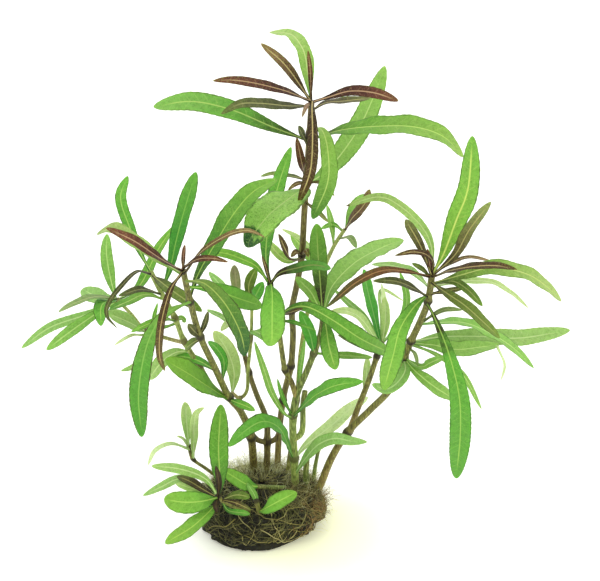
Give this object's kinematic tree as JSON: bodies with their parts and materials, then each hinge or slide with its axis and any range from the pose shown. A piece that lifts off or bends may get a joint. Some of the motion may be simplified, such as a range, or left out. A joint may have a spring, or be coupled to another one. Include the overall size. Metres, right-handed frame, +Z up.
{
  "type": "aquarium stem plant",
  "caption": "Bushy aquarium stem plant with long narrow green, yellow-green and red-brown leaves in opposite pairs, standing on a bare dark root plug.",
  "frame": {"origin": "centre of the root plug's flat underside", "axes": "+Z up along the stems, -Y towards the side that the picture shows, +X to that side's right"},
  "size_m": [0.2055, 0.135, 0.1953],
  "materials": {
    "root_plug": "damp, dark, matted fibre",
    "stem": "smooth, slightly glossy skin",
    "leaf_green": "smooth, soft sheen",
    "leaf_light": "smooth, soft sheen",
    "leaf_bronze": "smooth, soft sheen"
  },
  "bodies": {
    "root": {"leaf_centre_front_drooping": "leaf_light", "leaf_centre_left_arch": "leaf_green", "leaf_centre_long_right": "leaf_green", "leaf_centre_right_arch": "leaf_green", "leaf_centre_right_hanging": "leaf_green", "leaf_centre_right_light": "leaf_light", "leaf_centre_right_low_left": "leaf_green", "leaf_centre_right_low_right": "leaf_green", "leaf_centre_right_upright": "leaf_green", "leaf_centre_upright": "leaf_green", "leaf_far_left_long": "leaf_light", "leaf_far_left_second": "leaf_light", "leaf_left_arch_right": "leaf_green", "leaf_left_back_upper": "leaf_green", "leaf_left_back_upright": "leaf_green", "leaf_left_big_hanging": "leaf_green", "leaf_left_big_upper": "leaf_green", "leaf_left_brown_drooping": "leaf_bronze", "leaf_left_light_under": "leaf_light", "leaf_left_low_wide": "leaf_green", "leaf_left_red": "leaf_bronze", "leaf_left_wide_behind": "leaf_green", "leaf_low_front_oval": "leaf_light", "leaf_low_left_down": "leaf_light", "leaf_low_left_upright": "leaf_green", "leaf_low_left_wide": "leaf_light", "leaf_right_big_down": "leaf_green", "leaf_right_big_down_left": "leaf_light", "leaf_right_big_upright": "leaf_light", "leaf_right_bronze_upper": "leaf_bronze", "leaf_right_green_right": "leaf_green", "leaf_right_light_arch": "leaf_light", "leaf_right_light_right": "leaf_light", "leaf_right_olive_down": "leaf_green", "leaf_right_red_long_left": "leaf_bronze", "leaf_tall_big_left": "leaf_green", "leaf_tall_big_right": "leaf_green", "leaf_tall_bronze_upper": "leaf_bronze", "leaf_tall_brown_front": "leaf_bronze", "leaf_tall_drooping_right": "leaf_green", "leaf_tall_light_back": "leaf_light", "leaf_tall_red_left": "leaf_bronze", "leaf_tall_red_right": "leaf_bronze", "leaf_tall_top_arch": "leaf_light", "leaf_tall_wide_speckled": "leaf_light", "root_plug": "root_plug", "stem_centre": "stem", "stem_centre_right": "stem", "stem_far_left": "stem", "stem_left_back": "stem", "stem_left_front": "stem", "stem_low_back_left": "stem", "stem_low_front": "stem", "stem_low_left": "stem", "stem_middle": "stem", "stem_middle_left": "stem", "stem_right_back": "stem", "stem_right_front": "stem", "stem_right_middle": "stem", "stem_tall": "stem"}
  },
  "joints": []
}
